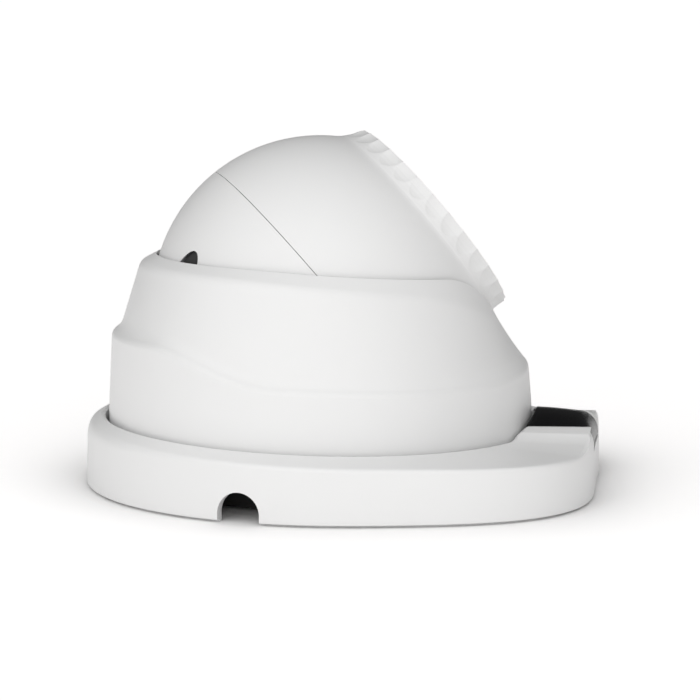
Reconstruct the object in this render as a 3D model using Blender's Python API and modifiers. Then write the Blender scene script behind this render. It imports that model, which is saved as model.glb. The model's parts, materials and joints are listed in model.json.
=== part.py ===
"""Dome cctv camera: a ball camera in a panning turret on a round mount base.

Metres, +Z up, mounting face at z = 0, nose of the base near +X. The origin is in the
middle of the base footprint. Lengths below are in millimetres and are scaled by MM.

Frames: "base_frame" has its local +X along the nose; "pan_axis" stands on the turning
axis of the turret; "tilt_axis" and "roll_axis" are at the centre of the ball, with local
+Z along the optical axis and local -X towards the top of the head.
"""

import math

import bmesh
import bpy
from mathutils import Matrix, Vector

MM = 0.001
FINE = 40
MEDIUM = 24
COARSE = 16
SMALL = 8

# Rest pose. PAN_X is in the base's own frame, PAN_AT in the world.
PAN_X = -5.2
PAN_AT = (-5.95, 0.65)
PAN_YAW = 11.5
TILT_UP = 39.0

# Base
BASE_YAW = -8.0
OUTLINE = (60.45, 6.86, 2.42, -0.33, -1.27, -1.24, -0.8, -0.33)
LEDGE_TOP = 10.3
LEDGE_BOTTOM = 8.3
LEDGE_R = 34.0
RECESS_R = 51.2
WALL = 2.8
NOSE_TOP = 15.9
NOSE_HALF = 15.0
NOSE_FALL = 12.0
WINDOW_HALF = 12.0
WINDOW_TOP = 16.0
WINDOW_CROWN = 2.0
GAP = 0.3
NOTCH_ANGLE = -100.0
NOTCH_WIDTH = 10.0
NOTCH_TOP = 7.1
MOUNT_BOSS_AT = 44.0

# Turret
SKIRT_R = 50.3
SKIRT_BOTTOM = 10.9
TRIM_BOSS_AT = 44.8
RETAINER_SCREW_AT = 31.5
SCOOP_HALF = 56.0
EDGE_HALF = 66.0

# Ball
BALL_Z = 42.0
BALL_R = 40.0
BALL_IN = 37.6
SOCKET_R = 40.4
SEAM = 0.3
REAR_CUT = -30.0
POCKET_AT = 32.2
POCKET_R = 4.2
PLUG_FACE_R = 38.0
POCKET_ANGLES = (30.0, 150.0, 210.0, 330.0)

# Optics
LED_COUNT = 8
LED_AT = 16.0
FILTER_STROKE = 8.0


def clear_scene():
    for obj in list(bpy.data.objects):
        bpy.data.objects.remove(obj, do_unlink=True)
    for group in (bpy.data.meshes, bpy.data.materials, bpy.data.collections):
        for block in list(group):
            group.remove(block)


def make_collection(name):
    group = bpy.data.collections.new(name)
    bpy.context.scene.collection.children.link(group)
    return group


clear_scene()
BODY = make_collection("dome_cctv_camera")
CUTTERS = make_collection("cutters")
CUTTERS.hide_render = True


# ---------------------------------------------------------------- helpers


def finish(name, rgb, rough, metal=0.0, alpha=1.0, coat=0.0, through=0.0):
    """A Principled material of one sub-part."""
    mat = bpy.data.materials.new(name)
    mat.use_nodes = True
    shader = mat.node_tree.nodes["Principled BSDF"]
    shader.inputs["Base Color"].default_value = (*rgb, 1.0)
    shader.inputs["Roughness"].default_value = rough
    shader.inputs["Metallic"].default_value = metal
    shader.inputs["Alpha"].default_value = alpha
    shader.inputs["Coat Weight"].default_value = coat
    shader.inputs["Transmission Weight"].default_value = through
    mat.diffuse_color = (*rgb, 1.0)
    return mat


def frame(name, parent=None, at=(0.0, 0.0, 0.0), turn=(0.0, 0.0, 0.0)):
    """An empty on a joint's axis. Lengths in mm, turns in degrees."""
    empty = bpy.data.objects.new(name, None)
    empty.empty_display_size = 0.01
    empty.parent = parent
    empty.location = Vector(at) * MM
    empty.rotation_euler = [math.radians(a) for a in turn]
    BODY.objects.link(empty)
    return empty


def place(name, mesh, parent, mat, at=(0.0, 0.0, 0.0), turn=0.0):
    """A named sub-part with its own material."""
    obj = bpy.data.objects.new(name, mesh)
    obj.parent = parent
    obj.location = Vector(at) * MM
    obj.rotation_euler = (0.0, 0.0, math.radians(turn))
    if mat is not None:
        mesh.materials.append(mat)
    BODY.objects.link(obj)
    return obj


def as_cutter(obj):
    BODY.objects.unlink(obj)
    CUTTERS.objects.link(obj)
    obj.hide_render = True
    obj.display_type = "WIRE"
    return obj


def boolean(obj, other, operation="DIFFERENCE"):
    mod = obj.modifiers.new(operation.title(), "BOOLEAN")
    mod.object = other
    mod.operation = operation
    mod.solver = "EXACT"


def turned(name, profile, steps, parent, mat, closed=True, at=(0.0, 0.0, 0.0), turn=0.0):
    """A turned sub-part. The profile is (radius, height) in mm, down the outer side."""
    mesh = bpy.data.meshes.new(name)
    points = [(r * MM, 0.0, z * MM) for r, z in profile]
    edges = [(i, i + 1) for i in range(len(points) - 1)]
    if closed:
        edges.append((len(points) - 1, 0))
    mesh.from_pydata(points, edges, [])
    obj = place(name, mesh, parent, mat, at, turn)
    mod = obj.modifiers.new("Turn", "SCREW")
    mod.angle = 2.0 * math.pi
    mod.steps = steps
    mod.render_steps = steps
    mod.use_merge_vertices = True
    mod.merge_threshold = 0.00001
    mod.use_smooth_shade = False
    return obj


def ball_arc(radius, high, low, count):
    """Points (radius, height) on a sphere about the origin, from high to low."""
    start, end = math.asin(high / radius), math.asin(low / radius)
    angles = [start + (end - start) * i / count for i in range(count + 1)]
    return [(radius * math.cos(a), radius * math.sin(a)) for a in angles]


def cylinders(name, items, parent, mat, steps=SMALL):
    """Upright cylinders in one mesh. Each item is (x, y, low, high, radius) in mm."""
    bm = bmesh.new()
    for x, y, low, high, radius in items:
        middle = Matrix.Translation(Vector((x, y, (low + high) / 2)) * MM)
        bmesh.ops.create_cone(
            bm,
            cap_ends=True,
            segments=steps,
            radius1=radius * MM,
            radius2=radius * MM,
            depth=(high - low) * MM,
            matrix=middle,
        )
    mesh = bpy.data.meshes.new(name)
    bm.to_mesh(mesh)
    bm.free()
    return place(name, mesh, parent, mat)


def boxes(name, items, parent, mat, at=(0.0, 0.0, 0.0)):
    """Boxes in one mesh. Each item is (low corner, high corner) in mm."""
    bm = bmesh.new()
    for low, high in items:
        low, high = Vector(low), Vector(high)
        size = Matrix.Diagonal((*((high - low) * MM), 1.0))
        bmesh.ops.create_cube(
            bm, size=1.0, matrix=Matrix.Translation((low + high) / 2 * MM) @ size
        )
    mesh = bpy.data.meshes.new(name)
    bm.to_mesh(mesh)
    bm.free()
    return place(name, mesh, parent, mat, at)


def bevel(obj, width, segments=1):
    mod = obj.modifiers.new("Bevel", "BEVEL")
    mod.width = width * MM
    mod.segments = segments
    mod.limit_method = "ANGLE"
    return mod


def ring_loft(name, rings, parent, mat):
    """A closed tube through rings of points in mm, the last ring joined to the first."""
    bm = bmesh.new()
    rows = [[bm.verts.new(Vector(p) * MM) for p in ring] for ring in rings]
    count = len(rows[0])
    for i, row in enumerate(rows):
        above = rows[(i + 1) % len(rows)]
        for k in range(count):
            n = (k + 1) % count
            bm.faces.new((row[k], row[n], above[n], above[k]))
    bmesh.ops.recalc_face_normals(bm, faces=bm.faces)
    mesh = bpy.data.meshes.new(name)
    bm.to_mesh(mesh)
    bm.free()
    return place(name, mesh, parent, mat)


def strip(name, path, half_width, thickness, parent, mat, crown=0.0):
    """A bent sheet: an open path in the XZ plane, swept along Y and thickened.

    A crown bulges it along the middle, in full at the start of the path and not at the
    end of it.
    """
    bm = bmesh.new()
    rows = []
    top, foot = path[0][1], path[-1][1]
    for share in (-1.0, -0.75, -0.5, -0.25, 0.0, 0.25, 0.5, 0.75, 1.0):
        bulge = crown * (1.0 - share**2)
        row = []
        for x, z in path:
            lifted = z + bulge * (z - foot) / (top - foot)
            row.append(bm.verts.new(Vector((x, share * half_width, lifted)) * MM))
        rows.append(row)
    for low, high in zip(rows, rows[1:]):
        for i in range(len(path) - 1):
            bm.faces.new((low[i], low[i + 1], high[i + 1], high[i]))
    mesh = bpy.data.meshes.new(name)
    bm.to_mesh(mesh)
    bm.free()
    obj = place(name, mesh, parent, mat)
    mod = obj.modifiers.new("Thickness", "SOLIDIFY")
    mod.thickness = thickness * MM
    mod.offset = 0.0
    return obj


def around(radius, angles):
    return [
        (radius * math.cos(math.radians(a)), radius * math.sin(math.radians(a)))
        for a in angles
    ]


def smooth(t):
    t = min(max(t, 0.0), 1.0)
    return t * t * (3.0 - 2.0 * t)


def blend(a, b, t):
    return a + (b - a) * t


# ---------------------------------------------------------------- frames

PIVOT = frame("base_pivot", at=(*PAN_AT, 0.0), turn=(0.0, 0.0, BASE_YAW))
BASE = frame("base_frame", PIVOT, at=(-PAN_X, 0.0, 0.0))
PAN = frame("pan_axis", at=(*PAN_AT, 0.0), turn=(0.0, 0.0, PAN_YAW))
TILT = frame("tilt_axis", PAN, at=(0.0, 0.0, BALL_Z), turn=(0.0, 90.0 - TILT_UP, 0.0))
ROLL = frame("roll_axis", TILT)
SLIDE = frame("filter_axis", ROLL)


# ---------------------------------------------------------------- base


def outline_reach(angle):
    """Distance from the pan axis to the outline of the base, in its own frame."""
    return sum(size * math.cos(k * angle) for k, size in enumerate(OUTLINE))


def base_rings(count):
    """Rings of the base: up the outer wall, over the rim, down the recess and under."""
    rings = []

    def nose(x, y):
        return 1.0 - smooth((abs(y) - NOSE_HALF) / NOSE_FALL) if x > 20.0 else 0.0

    def ridge(x, y):
        return blend(13.15 - 0.026 * x, NOSE_TOP, nose(x, y))

    def rim(x, y):
        return blend(15.0 - 0.03 * x, NOSE_TOP, nose(x, y))

    def ring(reach_of, height_of):
        points = []
        for k in range(count):
            angle = 2.0 * math.pi * k / count
            reach = reach_of(angle)
            x, y = reach * math.cos(angle), reach * math.sin(angle)
            points.append((PAN_X + x, y, height_of(x, y)))
        rings.append(points)

    def wall(inset, height_of):
        ring(lambda a: outline_reach(a) - inset, height_of)

    def circle(radius, height_of):
        ring(lambda a: radius, height_of)

    wall(0.5, lambda x, y: 0.0)
    wall(0.0, lambda x, y: 0.6)
    wall(0.25, lambda x, y: ridge(x, y) - 3.2)
    wall(0.95, lambda x, y: ridge(x, y) - 1.0)
    wall(2.1, lambda x, y: ridge(x, y) - 0.1)
    circle(52.3, rim)
    circle(51.5, rim)
    circle(RECESS_R, lambda x, y: rim(x, y) - 0.4)
    circle(RECESS_R, lambda x, y: LEDGE_TOP)
    circle(LEDGE_R, lambda x, y: LEDGE_TOP)
    circle(LEDGE_R, lambda x, y: LEDGE_BOTTOM)
    wall(WALL + 0.2, lambda x, y: LEDGE_BOTTOM)
    wall(WALL, lambda x, y: 0.0)
    return rings


def make_base():
    white = finish("base_white", (0.80, 0.80, 0.79), 0.45)
    housing = ring_loft("base_housing", base_rings(56), BASE, white)

    spots = [(x + PAN_X, y) for x, y in around(MOUNT_BOSS_AT, (60.0, 180.0, 300.0))]
    posts = cylinders(
        "mount_bosses", [(x, y, 0.0, 9.2, 4.5) for x, y in spots], BASE, None, COARSE
    )
    boolean(housing, as_cutter(posts), "UNION")
    bores = cylinders(
        "mount_bores", [(x, y, -1.0, 6.0, 2.2) for x, y in spots], BASE, None, COARSE
    )
    sinks = cylinders(
        "mount_sinks", [(x, y, 5.5, 11.5, 3.5) for x, y in spots], BASE, None, COARSE
    )
    boolean(housing, as_cutter(bores))
    boolean(housing, as_cutter(sinks))

    side = WINDOW_HALF + GAP
    pocket = boxes("nose_pocket", [((46.8, -side, 10.0), (70.0, side, 20.0))], BASE, None)
    boolean(housing, as_cutter(pocket))

    angle = math.radians(NOTCH_ANGLE)
    reach = outline_reach(angle)
    spot = Vector((PAN_X + reach * math.cos(angle), reach * math.sin(angle), 0.0))
    half, arch = NOTCH_WIDTH / 2.0, NOTCH_TOP - NOTCH_WIDTH / 2.0
    lower = boxes("notch_lower", [((-6.0, -half, -1.0), (6.0, half, arch))], BASE, None)
    upper = cylinders("notch_arch", [(0.0, 0.0, -6.0, 6.0, half)], BASE, None, 24)
    for obj in (lower, upper):
        obj.location = spot * MM
        obj.rotation_euler = (0.0, 0.0, angle)
    upper.location.z = arch * MM
    upper.rotation_euler = (0.0, math.radians(90.0), angle)
    boolean(housing, as_cutter(lower))
    boolean(housing, as_cutter(upper))

    # The window is a bent sheet: level, then rounded down over the front of the nose.
    thickness, bend, front = 1.5, 3.75, 59.2
    level = WINDOW_TOP - thickness / 2.0
    path = [(47.2, level), (front - bend, level)]
    for turn in (22.5, 45.0, 67.5, 90.0):
        a = math.radians(turn)
        path.append((front - bend + bend * math.sin(a), level - bend + bend * math.cos(a)))
    path.append((front, 10.6))
    gloss = finish("nose_gloss", (0.01, 0.01, 0.012), 0.06, coat=1.0)
    strip("nose_window", path, WINDOW_HALF, thickness, BASE, gloss, WINDOW_CROWN)

    green = finish("status_board_green", (0.03, 0.16, 0.07), 0.5)
    boxes("status_board", [((49.2, -9.0, 10.3), (57.0, 9.0, 11.1))], BASE, green)
    amber = finish("status_led_lens", (0.9, 0.85, 0.7), 0.3)
    boxes("status_led", [((52.4, -1.1, 11.4), (54.4, 1.1, 12.6))], BASE, amber)


# ---------------------------------------------------------------- turret


def screw(name, parent, mat, at, head, neck, tip, head_r, shank_r):
    """A screw along Z: head to neck is the head, neck to tip is the shank."""
    profile = [
        (0.0, head),
        (head_r, head),
        (head_r, neck),
        (shank_r, neck),
        (shank_r, tip),
        (0.0, tip),
    ]
    if head < neck:
        profile.reverse()
    return turned(name, profile, SMALL, parent, mat, False, (*at, 0.0))


def trim_rings(count):
    """Rings of the cover: up the skirt, over the crease, to the scooped rim, back down."""
    rings = []
    angles = [360.0 * k / count for k in range(count)]

    def off_front(a):
        return a if a <= 180.0 else 360.0 - a

    def crease(a):
        a = off_front(a)
        wave = 28.2 + 0.7 * math.cos(math.radians(3.0 * min(a, 120.0)))
        return wave + 7.7 * smooth((a - 112.0) / 40.0)

    def behind(a):
        return smooth((off_front(a) - 110.0) / 60.0)

    def rim(a):
        scoop = 11.9 * (1.0 - smooth(off_front(a) / SCOOP_HALF))
        rise = -0.07 * 39.5 * math.cos(math.radians(a)) - 0.85 * behind(a)
        return 52.75 + rise - scoop

    def edge(a):
        scoop = 7.1 * (1.0 - smooth(off_front(a) / EDGE_HALF))
        rise = -0.1 * 42.6 * math.cos(math.radians(a)) - 0.85 * behind(a)
        return 49.3 + rise - scoop

    def edge_r(a):
        return 42.5 + 0.5 * math.sin(math.radians(a)) ** 2

    def lip_r(z):
        return math.sqrt((SOCKET_R + 0.1) ** 2 - (z - BALL_Z) ** 2)

    def ring(radius_of, height_of):
        points = []
        for a in angles:
            x, y = around(radius_of(a), (a,))[0]
            points.append((x, y, height_of(a)))
        rings.append(points)

    ring(lambda a: SKIRT_R - 0.3, lambda a: SKIRT_BOTTOM)
    ring(lambda a: SKIRT_R, lambda a: SKIRT_BOTTOM + 0.5)
    ring(lambda a: SKIRT_R, lambda a: 18.0)
    ring(lambda a: 49.5, lambda a: crease(a) - 0.6)
    ring(lambda a: 49.1, crease)
    ring(lambda a: 48.0, lambda a: crease(a) + 0.9)
    ring(
        lambda a: blend(48.0, edge_r(a), 0.92),
        lambda a: blend(crease(a) + 0.9, edge(a), 0.92),
    )
    ring(lambda a: edge_r(a) - 0.3, lambda a: edge(a) + 0.3 * (rim(a) > edge(a) + 1.0))
    ring(lambda a: lip_r(rim(a)) + 0.7, lambda a: rim(a) - 0.15)
    ring(lambda a: lip_r(rim(a) - 0.6), lambda a: rim(a) - 0.6)
    ring(lambda a: 41.9, lambda a: rim(a) - 4.0)
    ring(lambda a: 46.0, lambda a: crease(a) + 0.2)
    ring(lambda a: 48.3, lambda a: crease(a) - 1.4)
    ring(lambda a: 48.3, lambda a: SKIRT_BOTTOM)
    return rings


def make_turret():
    steel = finish("turret_screw_steel", (0.55, 0.55, 0.56), 0.3, metal=1.0)
    acetal = finish("turntable_acetal", (0.55, 0.55, 0.54), 0.4)
    plate = [(47.9, 12.8), (47.9, 10.6), (33.6, 10.6)]
    plate += [(33.6, 8.3), (29.5, 8.3), (29.5, 12.8)]
    table = turned("turntable", plate, MEDIUM, PAN, acetal)
    clamp = turned(
        "pan_retainer",
        [(38.5, 8.0), (38.5, 5.8), (29.5, 5.8), (29.5, 8.0)],
        MEDIUM,
        PAN,
        finish("retainer_zinc", (0.45, 0.46, 0.47), 0.4, metal=1.0),
    )
    spots = around(RETAINER_SCREW_AT, (0.0, 120.0, 240.0))
    holes = cylinders("clamp_holes", [(x, y, 4.0, 11.9, 1.2) for x, y in spots], PAN, None)
    as_cutter(holes)
    boolean(table, holes)
    boolean(clamp, holes)
    for i, spot in enumerate(spots):
        screw(f"retainer_screw_{i + 1}", PAN, steel, spot, 4.2, 5.5, 11.5, 1.9, 0.9)

    seat = [(38.0, 22.0), (38.0, 13.1)]
    seat += [
        (math.sqrt(SOCKET_R**2 - (BALL_Z - z) ** 2), z) for z in (13.1, 17.5, 22.0)
    ]
    nylon = finish("seat_nylon", (0.62, 0.62, 0.6), 0.35)
    turned("seat_ring", seat, MEDIUM, PAN, nylon)

    grip = [(41.6, 33.4), (41.6, 29.0)]
    grip += [
        (math.sqrt(SOCKET_R**2 - (BALL_Z - z) ** 2), z) for z in (29.0, 33.4)
    ]
    rubber = finish("grip_rubber", (0.03, 0.03, 0.03), 0.8)
    turned("friction_ring", grip, MEDIUM, PAN, rubber)

    white = finish("trim_white", (0.82, 0.82, 0.81), 0.42)
    cover = ring_loft("trim_cover", trim_rings(52), PAN, white)
    spots = around(TRIM_BOSS_AT, (60.0, 180.0, 300.0))
    posts = cylinders(
        "trim_bosses", [(x, y, 13.1, 24.0, 4.0) for x, y in spots], PAN, None, COARSE
    )
    boolean(cover, as_cutter(posts), "UNION")
    holes = cylinders("trim_holes", [(x, y, 11.5, 21.0, 1.2) for x, y in spots], PAN, None)
    as_cutter(holes)
    boolean(cover, holes)
    boolean(table, holes)
    sinks = cylinders("trim_sinks", [(x, y, 9.5, 12.2, 2.1) for x, y in spots], PAN, None)
    boolean(table, as_cutter(sinks))
    for i, spot in enumerate(spots):
        screw(f"trim_screw_{i + 1}", PAN, steel, spot, 10.8, 11.9, 20.5, 1.8, 0.9)

    bore = cylinders("lock_bore", [(0.0, 0.0, 46.0, 52.0, 1.9)], PAN, None, SMALL)
    bore.location = Vector((0.0, 0.0, 18.0)) * MM
    bore.rotation_euler = (math.radians(-90.0), 0.0, 0.0)
    boolean(cover, as_cutter(bore))
    lock = turned(
        "lock_screw",
        [(0.0, 48.4), (0.9, 48.4), (0.9, 49.9), (1.6, 49.9), (1.6, 38.4), (0.0, 38.4)],
        SMALL,
        PAN,
        finish("lock_steel", (0.3, 0.3, 0.31), 0.35, metal=1.0),
        False,
        (0.0, 0.0, 18.0),
    )
    lock.rotation_euler = (math.radians(-90.0), 0.0, 0.0)


# ---------------------------------------------------------------- rear half of the ball


def make_rear_head():
    white = finish("rear_shell_white", (0.82, 0.82, 0.81), 0.42)
    outer = [(0.0, -SEAM)] + ball_arc(BALL_R, -SEAM, REAR_CUT, 6) + [(0.0, REAR_CUT)]
    shell = turned("rear_shell", outer, FINE, TILT, white, False)

    floor = REAR_CUT + BALL_R - BALL_IN
    hollow = [(0.0, 2.0), (BALL_IN, 2.0)]
    hollow += ball_arc(BALL_IN, 0.0, floor, 4) + [(0.0, floor)]
    room = as_cutter(turned("rear_room", hollow, FINE, TILT, None, False))
    # Head-up is local -X, so angles from head-up are taken from there.
    spots = around(POCKET_AT, [180.0 - a for a in POCKET_ANGLES])
    posts = cylinders(
        "rear_bosses", [(x, y, -40.0, -6.9, 5.8) for x, y in spots], TILT, None, COARSE
    )
    boolean(room, as_cutter(posts))
    boolean(shell, room)
    pockets = cylinders(
        "rear_pockets", [(x, y, -45.0, -10.0, POCKET_R) for x, y in spots], TILT, None, 18
    )
    boolean(shell, as_cutter(pockets))
    shafts = cylinders(
        "rear_shafts", [(x, y, -12.0, -1.6, 1.4) for x, y in spots], TILT, None
    )
    as_cutter(shafts)
    boolean(shell, shafts)
    exit_hole = cylinders("gland_hole", [(0.0, 0.0, -35.0, -25.0, 5.3)], TILT, None, COARSE)
    boolean(shell, as_cutter(exit_hole))

    bearing = turned(
        "roll_bearing_ring",
        [
            (36.4, 5.0),
            (36.4, 3.4),
            (34.6, 3.4),
            (34.6, -0.4),
            (36.7, -0.4),
            (36.7, -6.5),
            (30.6, -6.5),
            (30.6, -0.9),
            (33.0, -0.9),
            (33.0, 5.0),
        ],
        MEDIUM,
        TILT,
        finish("bearing_acetal", (0.05, 0.05, 0.05), 0.45),
    )
    boolean(bearing, shafts)
    steel = finish("rear_screw_steel", (0.5, 0.5, 0.51), 0.3, metal=1.0)
    rubber = finish("plug_rubber", (0.035, 0.035, 0.036), 0.75)
    # Each plug ends in a face that follows the ball, a little below its surface.
    face = [(0.0, 0.0)] + ball_arc(PLUG_FACE_R, 0.0, -PLUG_FACE_R, 10)
    inner = as_cutter(turned("plug_face", face, FINE, TILT, None, False))
    for i, spot in enumerate(spots):
        screw(f"rear_screw_{i + 1}", TILT, steel, spot, -12.2, -10.3, -2.0, 3.2, 1.05)
        blank = [(0.0, -12.5), (3.9, -12.5), (3.9, -30.0), (0.0, -30.0)]
        name = f"rear_plug_{i + 1}"
        plug = turned(name, blank, 18, TILT, rubber, False, (*spot, 0.0))
        boolean(plug, inner, "INTERSECT")

    turned(
        "cable_gland",
        [
            (5.0, -22.5),
            (5.0, -31.5),
            (8.2, -31.5),
            (8.2, -33.6),
            (5.0, -34.2),
            (5.0, -36.0),
            (3.3, -36.0),
            (3.3, -22.5),
        ],
        COARSE,
        TILT,
        finish("gland_plastic", (0.06, 0.06, 0.06), 0.5),
    )
    turned(
        "gland_seal",
        [(7.9, -30.3), (7.9, -31.2), (5.3, -31.2), (5.3, -30.3)],
        COARSE,
        TILT,
        finish("gland_rubber", (0.02, 0.02, 0.02), 0.85),
    )
    turned(
        "gland_nut",
        [(8.4, -24.0), (8.4, -27.3), (5.3, -27.3), (5.3, -24.0)],
        COARSE,
        TILT,
        finish("nut_nylon", (0.1, 0.1, 0.1), 0.5),
    )


# ---------------------------------------------------------------- front half of the ball


def make_front_head():
    white = finish("front_shell_white", (0.82, 0.82, 0.81), 0.42)
    bezel = [
        (24.7, 33.9),
        (25.45, 34.0),
        (26.15, 33.4),
        (26.66, 32.6),
        (27.2, 30.65),
    ]
    bezel += ball_arc(BALL_R, 28.8, SEAM, 6)
    bezel += [(BALL_IN, SEAM), (BALL_IN, 1.9), (34.9, 1.9), (34.9, 3.1)]
    bezel += list(reversed(ball_arc(BALL_IN, 25.0, 3.1, 3)))
    bezel += [(25.4, 27.5), (22.8, 28.2), (22.8, 29.8), (24.6, 29.8)]
    turned("front_shell", bezel, FINE, ROLL, white)
    turned(
        "seam_oring",
        [
            (36.0 + 0.55 * math.cos(math.radians(a)), 0.75 + 0.55 * math.sin(math.radians(a)))
            for a in (90, 30, -30, -90, -150, -210)
        ],
        MEDIUM,
        ROLL,
        finish("oring_rubber", (0.02, 0.02, 0.02), 0.7),
    )
    turned(
        "front_glass",
        [(0.0, 33.0), (23.9, 33.0), (24.2, 32.7), (24.2, 31.2), (0.0, 31.2)],
        MEDIUM,
        ROLL,
        finish("window_glass", (0.95, 0.97, 0.97), 0.03, alpha=0.35, through=1.0),
        False,
    )
    turned(
        "glass_gasket",
        [(24.2, 30.9), (24.2, 30.1), (22.9, 30.1), (22.9, 30.9)],
        MEDIUM,
        ROLL,
        finish("gasket_rubber", (0.02, 0.02, 0.02), 0.8),
    )
    turned(
        "chassis",
        [
            (24.8, 24.0),
            (24.8, 23.5),
            (28.4, 23.5),
            (28.4, 21.5),
            (24.8, 21.5),
            (24.8, -11.0),
            (23.2, -11.0),
            (23.2, -1.7),
            (19.5, -1.7),
            (19.5, -0.3),
            (23.2, -0.3),
            (23.2, 24.0),
        ],
        MEDIUM,
        ROLL,
        finish("chassis_aluminium", (0.6, 0.61, 0.62), 0.4, metal=1.0),
    )
    turned(
        "led_board",
        [(24.8, 25.5), (24.8, 24.3), (7.3, 24.3), (7.3, 25.5)],
        MEDIUM,
        ROLL,
        finish("led_board_black", (0.012, 0.012, 0.013), 0.45),
    )
    dome = [(0.0, 3.8), (1.7, 3.2), (2.3, 1.9), (2.3, 0.0), (0.0, 0.0)]
    clear = finish("led_epoxy", (0.75, 0.76, 0.8), 0.1, alpha=0.6, through=0.8)
    turns = [360.0 * (i + 0.5) / LED_COUNT for i in range(LED_COUNT)]
    for i, spot in enumerate(around(LED_AT, turns)):
        turned(f"led_{i + 1}", dome, SMALL, ROLL, clear, False, (*spot, 25.8))
    turned(
        "light_sensor",
        [(0.0, 1.2), (1.1, 1.2), (1.1, 0.0), (0.0, 0.0)],
        SMALL,
        ROLL,
        finish("light_sensor_epoxy", (0.35, 0.2, 0.12), 0.2),
        False,
        (0.0, 20.4, 25.8),
    )
    turned(
        "lens_baffle",
        [(9.4, 30.9), (9.4, 25.8), (7.8, 25.8), (7.8, 30.9)],
        COARSE,
        ROLL,
        finish("baffle_foam", (0.015, 0.015, 0.015), 0.9),
    )
    turned(
        "lens_barrel",
        [
            (6.4, 28.2),
            (6.9, 27.7),
            (6.9, 9.5),
            (4.6, 9.5),
            (4.6, 26.2),
            (6.1, 26.2),
            (6.1, 28.2),
        ],
        COARSE,
        ROLL,
        finish("barrel_black", (0.02, 0.02, 0.02), 0.3, metal=1.0),
    )
    turned(
        "lens_element",
        [(0.0, 29.4), (2.4, 29.0), (4.5, 28.0), (5.8, 26.9), (5.8, 26.5), (0.0, 26.5)],
        COARSE,
        ROLL,
        finish("lens_glass", (0.35, 0.3, 0.55), 0.02, alpha=0.5, through=1.0),
        False,
    )
    turned(
        "lens_holder",
        [(9.4, 17.0), (9.4, 10.8), (12.0, 10.8), (12.0, 8.8), (7.2, 8.8), (7.2, 17.0)],
        COARSE,
        ROLL,
        finish("holder_black", (0.02, 0.02, 0.02), 0.5),
    )
    green = finish("sensor_board_green", (0.02, 0.14, 0.06), 0.45)
    disc = [(0.0, 1.2), (22.9, 1.2), (22.9, 0.0), (0.0, 0.0)]
    turned("sensor_board", disc, MEDIUM, ROLL, green, False)
    silicon = finish("sensor_silicon", (0.05, 0.05, 0.09), 0.1)
    boxes("image_sensor", [((-3.4, -4.4, 1.5), (3.4, 4.4, 2.6))], ROLL, silicon)

    housing = boxes(
        "filter_housing",
        [((-7.5, -14.5, 1.5), (7.5, 14.5, 8.5))],
        ROLL,
        finish("filter_housing_black", (0.015, 0.015, 0.015), 0.55),
    )
    track = boxes("filter_track", [((-4.9, -13.3, 4.7), (4.9, 13.3, 6.3))], ROLL, None)
    well = boxes("sensor_well", [((-4.6, -5.0, 0.0), (4.6, 5.0, 5.0))], ROLL, None)
    light_way = cylinders("light_way", [(0.0, 0.0, 6.0, 10.0, 4.4)], ROLL, None, COARSE)
    for tool in (track, well, light_way):
        boolean(housing, as_cutter(tool))
    coil = turned(
        "filter_coil",
        [(2.3, 5.0), (2.3, -5.0), (0.8, -5.0), (0.8, 5.0)],
        SMALL,
        ROLL,
        finish("coil_copper", (0.6, 0.25, 0.12), 0.35, metal=1.0),
        True,
        (10.6, 0.0, 4.0),
    )
    coil.rotation_euler = (math.radians(90.0), 0.0, 0.0)

    turned(
        "main_board",
        [(0.0, -11.3), (24.6, -11.3), (24.6, -12.8), (0.0, -12.8)],
        MEDIUM,
        ROLL,
        finish("main_board_green", (0.02, 0.12, 0.05), 0.45),
        False,
    )
    boxes(
        "processor",
        [((-6.0, -6.0, -14.3), (6.0, 6.0, -13.1))],
        ROLL,
        finish("processor_black", (0.02, 0.02, 0.022), 0.4),
    )
    fins = boxes(
        "heat_sink",
        [((-10.0, -10.0, -20.0), (10.0, 10.0, -14.6))],
        ROLL,
        finish("heat_sink_aluminium", (0.5, 0.51, 0.52), 0.45, metal=1.0),
    )
    slots = boxes(
        "fin_slots",
        [((-12.0, y - 1.3, -22.0), (12.0, y + 1.3, -16.4)) for y in (-6.0, -2.0, 2.0, 6.0)],
        ROLL,
        None,
    )
    boolean(fins, as_cutter(slots))
    orange = finish("ribbon_polyimide", (0.45, 0.2, 0.03), 0.4)
    path = [(-12.0, -0.6), (-6.0, -0.6), (-4.6, -1.6), (-4.6, -4.2), (-6.0, -5.4)]
    path += [(-9.6, -5.4), (-11.0, -6.6), (-11.0, -9.4), (-9.6, -10.8), (-4.0, -10.8)]
    strip("ribbon_cable", path, 5.0, 0.3, ROLL, orange)


# ---------------------------------------------------------------- day and night filter


def make_filter():
    half = FILTER_STROKE / 2.0
    plate = boxes(
        "filter_carrier",
        [((-4.5, -half - 0.5, 5.0), (4.5, FILTER_STROKE + half + 0.5, 6.0))],
        SLIDE,
        finish("carrier_steel", (0.4, 0.4, 0.41), 0.35, metal=1.0),
    )
    holes = boxes(
        "carrier_holes",
        [
            ((-3.3, y - 3.3, 4.0), (3.3, y + 3.3, 7.0))
            for y in (0.0, FILTER_STROKE)
        ],
        SLIDE,
        None,
    )
    boolean(plate, as_cutter(holes))
    tinted = finish("ir_cut_glass", (0.35, 0.6, 0.7), 0.05, alpha=0.5, through=0.8)
    plain = finish("clear_pane_glass", (0.9, 0.95, 0.95), 0.05, alpha=0.4, through=0.9)
    panes = (("ir_cut_pane", 0.0, tinted), ("clear_pane", FILTER_STROKE, plain))
    for name, y, mat in panes:
        boxes(name, [((-3.0, y - 3.0, 5.1), (3.0, y + 3.0, 5.9))], SLIDE, mat)


make_base()
make_turret()
make_rear_head()
make_front_head()
make_filter()
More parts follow.
